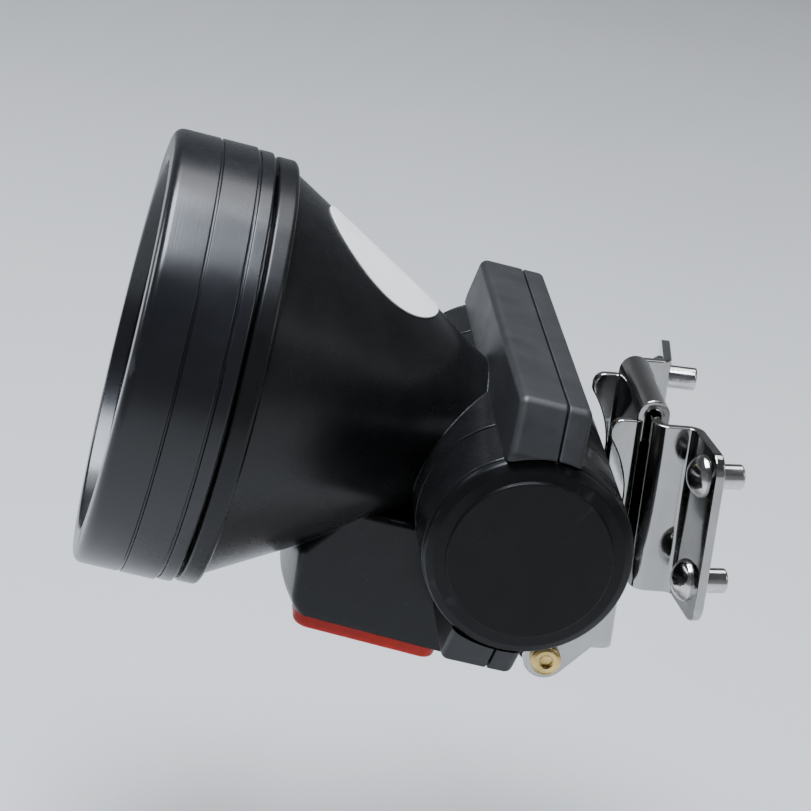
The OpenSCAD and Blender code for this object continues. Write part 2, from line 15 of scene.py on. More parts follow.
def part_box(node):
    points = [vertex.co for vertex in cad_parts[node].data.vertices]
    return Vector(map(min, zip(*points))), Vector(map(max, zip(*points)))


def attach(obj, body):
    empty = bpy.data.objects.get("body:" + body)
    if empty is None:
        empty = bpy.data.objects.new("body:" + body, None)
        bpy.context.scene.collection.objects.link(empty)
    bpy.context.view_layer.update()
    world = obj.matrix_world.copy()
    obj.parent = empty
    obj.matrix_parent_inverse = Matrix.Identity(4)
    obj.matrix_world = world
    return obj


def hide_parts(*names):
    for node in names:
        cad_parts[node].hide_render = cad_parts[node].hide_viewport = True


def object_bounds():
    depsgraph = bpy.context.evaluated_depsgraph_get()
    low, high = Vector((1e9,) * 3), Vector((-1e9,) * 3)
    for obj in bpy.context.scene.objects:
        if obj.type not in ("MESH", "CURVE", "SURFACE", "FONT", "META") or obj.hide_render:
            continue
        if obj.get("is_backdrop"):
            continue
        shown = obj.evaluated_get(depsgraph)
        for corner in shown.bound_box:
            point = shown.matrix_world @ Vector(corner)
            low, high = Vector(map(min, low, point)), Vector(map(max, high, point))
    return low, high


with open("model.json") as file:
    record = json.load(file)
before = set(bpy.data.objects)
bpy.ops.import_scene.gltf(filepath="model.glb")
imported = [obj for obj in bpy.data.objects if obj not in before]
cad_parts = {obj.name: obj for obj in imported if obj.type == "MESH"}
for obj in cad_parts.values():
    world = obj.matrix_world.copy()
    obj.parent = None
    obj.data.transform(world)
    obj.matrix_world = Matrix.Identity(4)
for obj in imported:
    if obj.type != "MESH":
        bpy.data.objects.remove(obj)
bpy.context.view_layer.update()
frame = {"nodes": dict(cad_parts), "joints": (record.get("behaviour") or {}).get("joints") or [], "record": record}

MM = 0.001
# Facets round a turned shape: the bezel, the lens and its reflector, the casing, the pivot's
# pieces, and small pieces and holes.
BEZEL_TURN, LENS_TURN, TURN, PIN_TURN, SMALL_TURN = 224, 192, 168, 96, 72
X, Y, Z = Vector((1, 0, 0)), Vector((0, 1, 0)), Vector((0, 0, 1))


# ---- places ----
def joint(name):
    return next(j for j in frame["joints"] if j["name"] == name)


def box_mm(node):
    """Lowest and highest corner of a CAD node in the part's own frame, in millimetres."""
    low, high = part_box(node)
    return low / MM, high / MM


def head_place():
    """The drum's axis lies along Y, and the pad is pressed along the head's Z."""
    low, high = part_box("left_drum_cap")
    up = Vector(joint("pad_press")["axis"]).normalized()
    ahead = Y.cross(up)
    place = Matrix((ahead, Y, up)).transposed().to_4x4() @ Matrix.Scale(MM, 4)
    place.translation = Vector(((low.x + high.x) / 2, 0, (low.z + high.z) / 2))
    return place


PART = Matrix.Scale(MM, 4)
HEAD = head_place()


def extent(node, place):
    """Lowest and highest corner of a CAD node along a place's own axes, in millimetres."""
    back = place.inverted()
    points = [back @ v.co for v in frame["nodes"][node].data.vertices]
    return [Vector([pick(p[i] for p in points) for i in range(3)]) for pick in (min, max)]


# ---- outlines ----
NEARLY_STRAIGHT = 3.13


def polar(angle):
    """The unit vector at that angle in degrees."""
    return Vector((math.cos(math.radians(angle)), math.sin(math.radians(angle))))


def rounded(points, radii, steps=6, closed=True):
    """The line through points with its corners filleted; radii is one number or one for each."""
    count = len(points)
    if not hasattr(radii, "__len__"):
        radii = [radii] * count
    line = []
    for i in range(count):
        here = Vector(points[i])
        a = Vector(points[i - 1]) - here
        b = Vector(points[(i + 1) % count]) - here
        end = not closed and i in (0, count - 1)
        straight = min(a.length, b.length) < 1e-6 or a.angle(b) > NEARLY_STRAIGHT
        if radii[i] <= 0 or end or straight:
            line.append(here)
            continue
        half = a.angle(b) / 2
        cut = min(radii[i] / math.tan(half), 0.49 * min(a.length, b.length))
        radius = cut * math.tan(half)
        centre = here + (a.normalized() + b.normalized()).normalized() * radius / math.sin(half)
        first = here + a.normalized() * cut - centre
        last = here + b.normalized() * cut - centre
        sweep = math.atan2(first.x * last.y - first.y * last.x, first.dot(last))
        for k in range(steps + 1):
            line.append(centre + Matrix.Rotation(sweep * k / steps, 2) @ first)
    tidy = []
    for p in line:
        if not tidy or (p - tidy[-1]).length > 1e-4:
            tidy.append(p)
    return tidy


def arc(centre, radius, start, end, steps):
    angles = [start + (end - start) * k / steps for k in range(steps + 1)]
    return [Vector(centre) + radius * polar(a) for a in angles]


def inset(points, depth):
    """The closed outline moved inwards."""
    count = len(points)
    area = sum(points[i - 1].x * points[i].y - points[i].x * points[i - 1].y for i in range(count))
    sign = 1 if area > 0 else -1
    line = []
    for i in range(count):
        a = (points[i] - points[i - 1]).normalized()
        b = (points[(i + 1) % count] - points[i]).normalized()
        na, nb = Vector((-a.y, a.x)) * sign, Vector((-b.y, b.x)) * sign
        line.append(points[i] + (na + nb) * depth / (1 + max(na.dot(nb), -0.5)))
    return line


# ---- meshes ----
def skin(bm, a, b):
    """Joins two loops of vertices with faces; either may be a single vertex."""
    count = max(len(a), len(b))
    for i in range(count):
        j = (i + 1) % count
        corners = []
        for v in (a[i % len(a)], a[j % len(a)], b[j % len(b)], b[i % len(b)]):
            if v not in corners:
                corners.append(v)
        if len(corners) > 2:
            bm.faces.new(corners)


# Vertices closer than WELD become one; THIN is the smallest distance that counts (mm).
WELD, THIN = 2e-4, 1e-5


def closed_up(bm):
    """Turns the faces outwards."""
    bmesh.ops.recalc_face_normals(bm, faces=bm.faces)
    return bm


def lathe(profile, origin, direction, steps=TURN, closed=False, start=0.0):
    """A turned shape; profile holds (distance along direction, radius)."""
    bm = bmesh.new()
    side = direction.cross(Z if abs(direction.z) < 0.9 else X).normalized()
    other = direction.cross(side)
    rings = []
    for along, radius in profile:
        base = Vector(origin) + direction * along
        if radius < 1e-5:
            rings.append([bm.verts.new(base)])
            continue
        turns = [start + 2 * math.pi * k / steps for k in range(steps)]
        rings.append([
            bm.verts.new(base + radius * (side * math.cos(t) + other * math.sin(t))) for t in turns
        ])
    for a, b in zip(rings, rings[1:]):
        skin(bm, a, b)
    if closed:
        skin(bm, rings[-1], rings[0])
    return closed_up(bm)


def rod(low, high, radius):
    """The profile of a plain round bar."""
    return [(low, 0), (low, radius), (high, radius), (high, 0)]


def slab(outline, low, high, put, rims=(0.2, 0.2), steps=4):
    """A plate of that outline with rounded rims; put(point, height) gives the place."""
    bm = bmesh.new()
    turn = [math.pi / 2 * k / steps for k in range(steps + 1)]
    near, far = rims
    levels = [(near * (1 - math.sin(a)), low + near * (1 - math.cos(a))) for a in turn]
    levels += [(far * (1 - math.sin(a)), high - far * (1 - math.cos(a))) for a in reversed(turn)]
    loops, before = [], None
    for depth, height in levels:
        if before is None or abs(depth - before[0]) + abs(height - before[1]) > 1e-4:
            loops.append([bm.verts.new(put(p, height)) for p in inset(outline, depth)])
        before = (depth, height)
    for a, b in zip(loops, loops[1:]):
        skin(bm, a, b)
    bm.faces.new(loops[0])
    bm.faces.new(loops[-1])
    return closed_up(bm)


def along_x(p, h):
    return Vector((h, p[0], p[1]))


def along_y(p, h):
    return Vector((p[0], h, p[1]))


def along_z(p, h):
    return Vector((p[0], p[1], h))


def box_outline(x0, y0, x1, y1, radius=0.0, steps=6):
    corners = [(x0, y0), (x1, y0), (x1, y1), (x0, y1)]
    return rounded(corners, radius, steps) if radius else [Vector(c) for c in corners]


def block(low, high):
    """A box between two corners, for cutting."""
    return slab(box_outline(low[0], low[1], high[0], high[1]), low[2], high[2], along_z, (0, 0))


def joined(*parts):
    """Several meshes as one."""
    whole = bmesh.new()
    for part in parts:
        scrap = bpy.data.meshes.new("scrap")
        part.to_mesh(scrap)
        part.free()
        whole.from_mesh(scrap)
        bpy.data.meshes.remove(scrap)
    return whole


def moved(bm, matrix):
    """Transforms a mesh; one that is mirrored has its faces turned outwards again."""
    bm.transform(matrix)
    bm.normal_update()
    return closed_up(bm) if matrix.determinant() < 0 else bm


def mirrored(bm):
    return moved(bm.copy(), Matrix.Scale(-1, 4, Y))


def solid(bm, finish=None, name="tool"):
    mesh = bpy.data.meshes.new(name)
    bm.to_mesh(mesh)
    bm.free()
    if finish is not None:
        mesh.materials.append(finish)
    obj = bpy.data.objects.new(name, mesh)
    bpy.context.scene.collection.objects.link(obj)
    return obj


def carve(obj, operation, *tools):
    """Applies one boolean operation to obj with each tool in turn, then welds the seams."""
    for tool in tools:
        step = obj.modifiers.new("step", "BOOLEAN")
        step.operation, step.solver, step.object = operation, "EXACT", tool
        step.material_mode = "TRANSFER"
        tool.hide_render = True
    bpy.context.view_layer.update()
    result = bpy.data.meshes.new_from_object(
        obj.evaluated_get(bpy.context.evaluated_depsgraph_get())
    )
    obj.modifiers.clear()
    bm = bmesh.new()
    bm.from_mesh(result)
    bmesh.ops.remove_doubles(bm, verts=bm.verts[:], dist=WELD)
    bmesh.ops.dissolve_degenerate(bm, dist=THIN, edges=bm.edges[:])
    bm.to_mesh(result)
    bm.free()
    obj.data = result
    for tool in tools:
        bpy.data.objects.remove(tool)
    return obj


def path_point(start, heading, runs, s):
    """Place and heading at distance s on a line of (length, turn) runs in a plane."""
    x, y = start
    for i, (length, turn) in enumerate(runs):
        step = s if i == len(runs) - 1 else min(s, length)
        if turn:
            radius = length / turn
            after = heading + turn * step / length
            x += radius * (math.sin(after) - math.sin(heading))
            y -= radius * (math.cos(after) - math.cos(heading))
            heading = after
        else:
            x += step * math.cos(heading)
            y += step * math.sin(heading)
        s -= step
        if s <= 0:
            break
    return x, y, heading


def bend_stations(runs, step=0.16):
    """Distances at which a sheet is divided so that its bends come out round."""
    stations, s = [], 0.0
    for length, turn in runs:
        if turn:
            count = max(2, round(length / step))
            stations += [s + length * k / count for k in range(count + 1)]
        s += length
    return stations


def divided(bm, stations, across=X):
    """Splits a mesh at each station along an axis."""
    bmesh.ops.triangulate(bm, faces=[f for f in bm.faces if len(f.verts) > 4])
    for s in stations:
        geometry = bm.verts[:] + bm.edges[:] + bm.faces[:]
        bmesh.ops.bisect_plane(bm, geom=geometry, dist=THIN, plane_co=across * s, plane_no=across)
    return bm


# ---- finishes ----
def add(tree, kind, sockets=(), **settings):
    node = tree.nodes.new("ShaderNode" + kind)
    for key, value in settings.items():
        setattr(node, key, value)
    for key, value in dict(sockets).items():
        if isinstance(value, bpy.types.NodeSocket):
            tree.links.new(value, node.inputs[key])
        else:
            node.inputs[key].default_value = value
    return node


def math_node(tree, operation, a, b):
    return add(tree, "Math", {0: a, 1: b}, operation=operation).outputs[0]


def spread(tree, value, low, high, start=0.3, end=0.7):
    """Maps the value's range from start to end onto the range from low to high."""
    sockets = {"Value": value, "From Min": start, "From Max": end, "To Min": low, "To Max": high}
    return add(tree, "MapRange", sockets).outputs[0]


def noise(tree, coords, scale, detail=4.0, roughness=0.55, distortion=0.0, **more):
    sockets = {"Scale": scale, "Detail": detail, "Roughness": roughness, "Distortion": distortion}
    sockets["W" if more.get("noise_dimensions") == "1D" else "Vector"] = coords
    return add(tree, "TexNoise", sockets, **more).outputs["Fac"]


def shade(color, factor):
    """The colour made brighter or darker, with full alpha."""
    return tuple(min(1.0, c * factor) for c in color[:3]) + (1.0,)


def finish(
    name, color, rough, metal=0.0, tone=(0.8, 1.2), mottle=180.0, smudge=45.0, spread_by=0.07,
    grain=None, grain_depth=0.0, lines=None, scratch=None, edge=None, round_edge=0.0, sockets=(),
):
    """A procedural finish.

    tone is the range of the colour's brightness and mottle the scale of its patches; smudge and
    spread_by vary the roughness; grain and grain_depth are a fine bump; lines is (direction,
    lines per metre, depth); scratch is (direction, scale, strength); edge is (colour, amount)
    for worn edges; round_edge is the radius that softens an edge; sockets are set on the shader.
    Distances are in metres.
    """
    material = bpy.data.materials.new(name)
    material.use_nodes = True
    tree = material.node_tree
    shader = tree.nodes["Principled BSDF"]
    shader.inputs["Metallic"].default_value = metal
    for key, value in dict(sockets).items():
        shader.inputs[key].default_value = value
    place = add(tree, "TexCoord").outputs["Object"]

    patches = noise(tree, place, mottle, 6.0, 0.6)
    ramp = add(tree, "ValToRGB", {"Fac": patches})
    for stop, position, factor in zip(ramp.color_ramp.elements, (0.3, 0.7), tone):
        stop.position, stop.color = position, shade(color, factor)
    base = ramp.outputs["Color"]

    smears = noise(tree, place, smudge, 7.0, 0.62, 0.8)
    roughness = spread(tree, smears, rough - spread_by, rough + spread_by)
    normal = None
    if edge:
        worn = add(tree, "NewGeometry").outputs["Pointiness"]
        chips = math_node(tree, "MULTIPLY", spread(tree, worn, 0.0, 1.0, 0.52, 0.62), patches)
        chips = math_node(tree, "MULTIPLY", chips, edge[1])
        base = add(
            tree, "Mix", {"Factor": chips, "A": base, "B": tuple(edge[0]) + (1.0,)},
            data_type="RGBA",
        ).outputs["Result"]
        roughness = math_node(tree, "ADD", roughness, math_node(tree, "MULTIPLY", chips, 0.25))
    if scratch:
        direction, scale, strength = scratch
        stretch = [scale if abs(c) < 0.5 else scale * 0.02 for c in direction]
        hair = add(tree, "Mapping", {"Vector": place, "Scale": stretch}).outputs[0]
        hair = noise(tree, hair, 1.0, 3.0, 0.7)
        dull = spread(tree, hair, 0.0, strength, 0.55, 0.75)
        roughness = math_node(tree, "ADD", roughness, dull)
        normal = add(
            tree, "Bump", {"Height": hair, "Strength": 0.25, "Distance": 4e-6 * strength / 0.1}
        ).outputs[0]
    if grain:
        cells = noise(tree, place, grain, 3.0, 0.7)
        bump = {"Height": cells, "Strength": 1.0, "Distance": grain_depth}
        if normal:
            bump["Normal"] = normal
        normal = add(tree, "Bump", bump).outputs[0]
    if lines:
        direction, count, depth = lines
        run = add(
            tree, "VectorMath", {0: place, 1: tuple(direction)}, operation="DOT_PRODUCT"
        ).outputs["Value"]
        rings = noise(tree, run, count, 5.0, 0.75, noise_dimensions="1D")
        bump = {"Height": rings, "Strength": 1.0, "Distance": depth}
        if normal:
            bump["Normal"] = normal
        normal = add(tree, "Bump", bump).outputs[0]
    if round_edge:
        soft = {"Radius": round_edge}
        if normal:
            soft["Normal"] = normal
        normal = add(tree, "Bevel", soft, samples=6).outputs[0]
    tree.links.new(base, shader.inputs["Base Color"])
    tree.links.new(roughness, shader.inputs["Roughness"])
    if normal:
        tree.links.new(normal, shader.inputs["Normal"])
    return material


beam_way = (HEAD.to_3x3() @ X).normalized()
cross_way = (0.0, 1.0, 0.0)
upright = (0.0, 0.0, 1.0)

gloss_black = finish(
    "gloss_black", (0.0052, 0.0053, 0.0056), 0.27, tone=(0.75, 1.3), mottle=240, smudge=70,
    spread_by=0.05, grain=5200, grain_depth=2.6e-6, round_edge=0.00025,
    sockets={"Specular IOR Level": 0.33},
)
matte_black = finish(
    "matte_black", (0.0125, 0.0126, 0.0132), 0.46, tone=(0.75, 1.3), mottle=300, smudge=90,
    spread_by=0.06, grain=4200, grain_depth=9e-6, edge=((0.05, 0.05, 0.054), 0.9),
    round_edge=0.0003, sockets={"Specular IOR Level": 0.5},
)
bezel_black = finish(
    "bezel_black", (0.0058, 0.0060, 0.0075), 0.26, tone=(0.8, 1.25), mottle=260, smudge=60,
    spread_by=0.05, grain=5600, grain_depth=2.2e-6, lines=(beam_way, 2600, 4e-6),
    edge=((0.04, 0.04, 0.048), 0.7), sockets={"Specular IOR Level": 0.55},
)
cap_black = finish(
    "cap_black", (0.0046, 0.0047, 0.0050), 0.31, tone=(0.75, 1.3), mottle=260, smudge=80,
    spread_by=0.06, grain=4800, grain_depth=3.5e-6, edge=((0.035, 0.035, 0.04), 0.7),
    sockets={"Specular IOR Level": 0.2},
)
seal_rubber = finish(
    "seal_rubber", (0.014, 0.014, 0.014), 0.72, tone=(0.7, 1.4), mottle=500, grain=3800,
    grain_depth=1.2e-5, sockets={"Specular IOR Level": 0.35},
)
nickel_sheet = finish(
    "nickel_sheet", (0.42, 0.415, 0.405), 0.07, 1.0, (0.86, 1.08), 110, 85, 0.035, 2600, 8e-7,
    scratch=(upright, 2600, 0.07), edge=((0.85, 0.84, 0.82), 0.5),
)
nickel_hanger = finish(
    "nickel_hanger", (0.44, 0.435, 0.42), 0.09, 1.0, (0.84, 1.08), 120, 95, 0.045, 2400, 1.0e-6,
    scratch=(cross_way, 2400, 0.09), edge=((0.85, 0.84, 0.82), 0.5),
)
rivet_nickel = finish(
    "rivet_nickel", (0.62, 0.61, 0.60), 0.12, 1.0, (0.82, 1.08), 500, 400, 0.08, 1800, 1.2e-5,
    edge=((0.88, 0.87, 0.85), 0.5),
)
yellow_zinc = finish(
    "yellow_zinc", (0.72, 0.53, 0.20), 0.26, 1.0, (0.72, 1.15), 700, 500, 0.09, 3200, 4e-6,
    edge=((0.75, 0.72, 0.62), 0.8),
)
plain_zinc = finish(
    "plain_zinc", (0.56, 0.57, 0.58), 0.30, 1.0, (0.78, 1.12), 600, 420, 0.08, 3000, 4e-6,
    edge=((0.8, 0.8, 0.8), 0.7),
)
polished_brass = finish(
    "polished_brass", (0.83, 0.63, 0.28), 0.17, 1.0, (0.8, 1.1), 500, 380, 0.07, 2600, 2.5e-6,
    lines=(cross_way, 5200, 1.5e-6),
)
nylon = finish(
    "nylon", (0.74, 0.72, 0.66), 0.45, tone=(0.9, 1.06), mottle=400, grain=3000,
    grain_depth=5e-6, sockets={"Subsurface Weight": 0.15, "Subsurface Radius": (8e-4, 7e-4, 6e-4)},
)
label_white = finish(
    "label_white", (0.74, 0.73, 0.70), 0.42, tone=(0.92, 1.05), mottle=220, smudge=140,
    spread_by=0.08, grain=2600, grain_depth=4e-6, edge=((0.5, 0.49, 0.46), 0.6),
)
red_rubber = finish(
    "red_rubber", (0.50, 0.018, 0.008), 0.42, tone=(0.78, 1.18), mottle=320, smudge=160,
    spread_by=0.08, grain=3600, grain_depth=8e-6, edge=((0.5, 0.05, 0.035), 0.5),
    sockets={
        "Subsurface Weight": 0.08, "Subsurface Radius": (1.2e-3, 3e-4, 2e-4),
        "Specular IOR Level": 0.3,
    },
)
clear_lens = finish(
    "clear_lens", (0.97, 0.98, 1.0), 0.03, tone=(0.98, 1.0), mottle=90, smudge=55,
    spread_by=0.02, grain=1400, grain_depth=2e-7,
    sockets={"Transmission Weight": 1.0, "IOR": 1.49},
)
clear_dome = finish(
    "clear_dome", (0.98, 0.98, 0.96), 0.04, tone=(0.97, 1.0), mottle=600, spread_by=0.02,
    sockets={"Transmission Weight": 1.0, "IOR": 1.41},
)
mirror_coat = finish(
    "mirror_coat", (0.90, 0.90, 0.91), 0.07, 1.0, (0.94, 1.03), 130, 70, 0.03, 420, 5e-6,
)
phosphor = finish(
    "phosphor", (0.86, 0.66, 0.08), 0.62, tone=(0.9, 1.08), mottle=2600, grain=9000,
    grain_depth=6e-6,
)
white_ceramic = finish(
    "white_ceramic", (0.80, 0.80, 0.78), 0.5, tone=(0.92, 1.05), mottle=900, grain=6000,
    grain_depth=3e-6,
)
board_white = finish(
    "board_white", (0.78, 0.78, 0.76), 0.38, tone=(0.9, 1.05), mottle=340, grain=4600,
    grain_depth=4e-6,
)
board_green = finish(
    "board_green", (0.015, 0.13, 0.05), 0.34, tone=(0.7, 1.3), mottle=900, smudge=260,
    grain=4200, grain_depth=5e-6,
)
aluminium = finish(
    "aluminium", (0.66, 0.67, 0.68), 0.32, 1.0, (0.85, 1.1), 260, 160, 0.08, 2800, 4e-6,
    lines=(cross_way, 4200, 4e-6),
)
nickel_strip = finish(
    "nickel_strip", (0.62, 0.61, 0.58), 0.30, 1.0, (0.85, 1.1), 300, 180, 0.08, 3000, 3e-6,
)
cell_blue = finish(
    "cell_blue", (0.02, 0.09, 0.32), 0.30, tone=(0.85, 1.15), mottle=160, smudge=90,
    grain=1800, grain_depth=8e-6,
)
red_wire = finish(
    "red_wire", (0.42, 0.02, 0.015), 0.42, tone=(0.85, 1.12), mottle=700, grain=5200,
    grain_depth=5e-6,
)
grey_foam = finish(
    "grey_foam", (0.13, 0.13, 0.12), 0.9, tone=(0.5, 1.5), mottle=1800, grain=1500,
    grain_depth=1.2e-4,
)
part_black = finish(
    "part_black", (0.02, 0.02, 0.022), 0.5, tone=(0.7, 1.4), mottle=900, grain=5200,
    grain_depth=8e-6,
)
ivory = finish(
    "ivory", (0.72, 0.68, 0.56), 0.4, tone=(0.92, 1.05), mottle=600, grain=4200,
    grain_depth=4e-6,
)


# ---- pieces ----
def settle(obj, name, place, body, nodes, sharp=32.0, even=True):
    """Places a finished mesh, gives it its name and shading, and ties it to the frame."""
    obj.name = obj.data.name = name
    obj.data.transform(place)
    if place.determinant() < 0:
        obj.data.flip_normals()
    obj.data.shade_smooth()
    obj.data.set_sharp_from_angle(angle=math.radians(sharp))
    if even:
        step = obj.modifiers.new("even_faces", "WEIGHTED_NORMAL")
        step.keep_sharp, step.weight = True, 80
    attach(obj, body)
    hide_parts(*nodes)


# Sizes read from the CAD nodes, in the lamp head's frame.
lens_low, lens_high = extent("lens", HEAD)
bezel_low, bezel_high = extent("bezel_ring", HEAD)
pad_low, pad_high = extent("push_pad", HEAD)
cap_high = extent("left_drum_cap", HEAD)[1]
lens_r = (lens_high.z - lens_low.z) / 2
beam_z = (lens_low.z + lens_high.z) / 2
drum_r = cap_high.z
BEAM = Vector((0, 0, beam_z))
DRUM = Vector((0, 0, 0))

# The cone from the drum to the ring behind the bezel, as (place along the beam, radius).
cone_line = [(8.8, 10.6), (14.4, 14.3), (31, 23.6), (35.8, 26.3)]
ring_front_x = 38.5
spigot_r = 25.2

# The drum's end at the joint with its caps, and the plane that parts the housing's halves.
cap_joint_y = 28.1
drum_half = cap_joint_y - 0.05
split_x, line_half = 0.3, 0.14
front_split, rear_split = split_x + line_half, split_x - line_half
# Drum, pod and lug end this far inside the flange's own face, so that no faces coincide.
trim = 0.04

flange_half = extent("front_housing", HEAD)[1].y
flange_front, flange_rear = 6.2, -2.9
flange_top, flange_low = 18.8, -16.7
screw_sites = [(23, 15.7), (-23, 15.7), (23, -14.75), (-23, -14.75)]
stud_z = 15.7

# The switch pod: its underside slopes from front to rear, and recess_z is the pad's bed.
pod_front, pod_front_z, pod_rear_z = 24.7, -21.9, -22.7
pod_half, pod_crown = 12.2, 1.5
recess_z = -19.9
stem_x = 14

# The tilting joint: the lug and the hanger's ears, the bush and the screw.
ear_r, bush_r, pivot_r = 2.9, 2.1, 1.3


def flange_outline():
    w, cut_y, cut_z = flange_half, 3.4, 6.2
    corners = [
        (w - cut_y, flange_top), (w, flange_top - cut_z), (w, flange_low + cut_z),
        (w - cut_y, flange_low),
    ]
    corners += [(-y, z) for y, z in reversed(corners)]
    return rounded(corners, 1.3, 5)


def drum_profile():
    """The drum's side with the groove near each end."""
    groove, wide, deep = 17.4, 0.34, 0.5
    right = [
        (groove - wide, drum_r), (groove - wide * 0.6, drum_r - deep),
        (groove + wide * 0.6, drum_r - deep), (groove + wide, drum_r),
        (drum_half, drum_r), (drum_half, 0),
    ]
    left = [(-y, r) for y, r in reversed(right)]
    radii_right = [0.14, 0.05, 0.05, 0.14, 0.3, 0]
    return rounded(left + right, list(reversed(radii_right)) + radii_right, 4, closed=False)


def drum_bore():
    """The battery space and the room for both caps, with facets turned off the drum's."""
    bore_r, cap_r, end, edge = 11.1, drum_r + 0.12, 33, drum_half + 0.01
    line = [(-end, 0), (-end, cap_r), (-edge, cap_r), (-edge, bore_r)]
    line += [(-y, r) for y, r in reversed(line)]
    return lathe(line, DRUM, Y, start=0.013)


def flange(low, high, rims):
    """One half of the plate where the housing's halves meet."""
    plate = slab(flange_outline(), low, high, along_x, rims, 6)
    return solid(plate, matte_black)


def switch_pod():
    """The pod under the cone, with a front that is crowned across its width."""
    back_x, top_z, shoulder_z, crown_x = -3, -6, -13, 14
    side = [
        (back_x, pod_rear_z - 0.2), (pod_front, pod_front_z), (pod_front + 1.2, shoulder_z),
        (20, top_z), (back_x, top_z),
    ]
    side = rounded(side, [1.2, 3.0, 1.4, 1.4, 1.4], 10)
    pod = slab(side, -pod_half, pod_half, along_y, (1.0, 1.0), 5)
    divided(pod, [k * pod_half / 6 for k in range(-5, 6)], Y)
    for v in pod.verts:
        ahead = max(0.0, (v.co.x - crown_x) / (pod_front - crown_x))
        v.co.x -= pod_crown * ahead * (v.co.y / pod_half) ** 2
    return solid(closed_up(pod), gloss_black)


def front_housing():
    """Cone, front half of the drum and flange, and the switch pod, in one moulding."""
    back_x, rim_x, ring_r, end_x = 4, 35.8, 27.6, 46
    cone = rounded(
        [(back_x, 0), (back_x, 8)] + cone_line + [
            (rim_x, ring_r), (ring_front_x, ring_r), (ring_front_x, spigot_r),
            (end_x, spigot_r), (end_x, 0),
        ],
        [0, 0, 16, 30, 60, 0.35, 0.75, 0.4, 0.1, 0.3, 0], 10, closed=False,
    )
    body = solid(lathe(cone, BEAM, X), gloss_black)
    drum = solid(lathe(drum_profile(), DRUM, Y), gloss_black)
    front_half = flange(front_split, flange_front, (0.12, 1.0))
    carve(body, "UNION", drum, switch_pod())
    carve(body, "DIFFERENCE", solid(block((-60, -45, -45), (front_split + trim, 45, 45))))
    carve(body, "UNION", front_half)
    inner = rounded(
        [(10.2, 0), (10.2, 8.6), (14.4, 12), (31, 21.2), (38, 23.2), (47, 23.2), (47, 0)],
        0, closed=False,
    )
    gap, stem_hole_r = 0.4, 2.6
    recess = box_outline(
        pad_low.x - gap, pad_low.y - gap, pad_high.x + gap, pad_high.y + gap, 2 + gap, 8
    )
    stem_hole = rod(recess_z - 1, recess_z + 3, stem_hole_r)
    tools = [
        lathe(inner, BEAM, X),
        drum_bore(),
        slab(recess, recess_z - 6, recess_z, along_z, (0, 0.3)),
        block((6.8, -9.8, recess_z + 1.5), (21.6, 9.8, -13.6)),
        lathe(stem_hole, Vector((stem_x, 0, 0)), Z, SMALL_TURN),
    ]
    pilot = rod(-1, 5.2, 1)
    tools += [lathe(pilot, Vector((0, y, z)), X, SMALL_TURN) for y, z in screw_sites]
    carve(body, "DIFFERENCE", *[solid(t, gloss_black) for t in tools])
    settle(body, "housing_front", HEAD, "lamp", ["front_housing"])


def rear_cover():
    """Rear half of the drum and flange, with the pivot lug and the screw and stud wells."""
    eye = HEAD.inverted() @ Vector(joint("lamp_tilt")["pos_m"])
    lug_half, root_x = 6.8, -0.2
    rear_half = flange(flange_rear, rear_split, (1.0, 0.12))
    body = solid(lathe(drum_profile(), DRUM, Y), gloss_black)
    lug_side = [Vector((root_x, flange_low)), Vector((root_x, -11)), Vector((-9.5, -8))]
    lug_side += arc((eye.x, eye.z), ear_r, 158, 309, 28)
    lug = solid(slab(lug_side, -lug_half, lug_half, along_y, (0.35, 0.35), 4), gloss_black)
    carve(body, "UNION", lug)
    carve(body, "DIFFERENCE", solid(block((rear_split - trim, -45, -45), (60, 45, 45))))
    carve(body, "UNION", rear_half)
    bush_bore = lathe(rod(-9, 9, bush_r), Vector((eye.x, 0, eye.z)), Y, SMALL_TURN)
    tools = [drum_bore(), bush_bore]
    out_x, mouth_r, well_r, floor_x, shank_r = -4, 2.2, 1.85, -1.5, 1
    screw_well = [
        (out_x, 0), (out_x, mouth_r), (flange_rear - 0.1, mouth_r), (flange_rear + 0.25, well_r),
        (floor_x, well_r), (floor_x, shank_r), (1, shank_r), (1, 0),
    ]
    tools += [lathe(screw_well, Vector((0, y, z)), X, SMALL_TURN) for y, z in screw_sites]
    stud_well = rod(out_x, flange_rear + 0.6, 2.0)
    tools += [lathe(stud_well, Vector((0, y, stud_z)), X, SMALL_TURN) for y in (-8, 8)]
    carve(body, "DIFFERENCE", *[solid(t, gloss_black) for t in tools])
    settle(body, "housing_rear", HEAD, "lamp", ["rear_cover"])


def bezel():
    """The ring round the window, with a step and a fine groove round its side."""
    back, rim, r = bezel_low.x, bezel_high.x, bezel_high.z - beam_z
    bore_r, deep = spigot_r + 0.1, r - 0.55
    window_r, seat_x, seat_r, stop_x = 23.8, lens_high.x + 0.02, lens_r + 0.05, lens_low.x - 1.6
    corners = [
        (back, bore_r, 0.1), (back, r - 0.2, 0.3), (40.75, r - 0.2, 0.15),
        (40.78, deep, 0.06), (41.1, deep, 0.06), (41.12, r, 0.22),
        (45.52, r, 0.12), (45.6, r - 0.34, 0.06), (45.84, r - 0.34, 0.06), (45.92, r, 0.12),
        (rim - 0.05, r, 3.9), (rim, 25.6, 2.0), (rim, window_r + 0.25, 0.4),
        (seat_x, window_r, 0.05), (seat_x, seat_r, 0.05), (stop_x, seat_r, 0.1),
        (stop_x, bore_r, 0.1),
    ]
    line = rounded([c[:2] for c in corners], [c[2] for c in corners], 9)
    ring = solid(lathe(line, BEAM, X, BEZEL_TURN, closed=True), bezel_black)
    settle(ring, "bezel_shell", HEAD, "lamp", ["bezel_ring"])


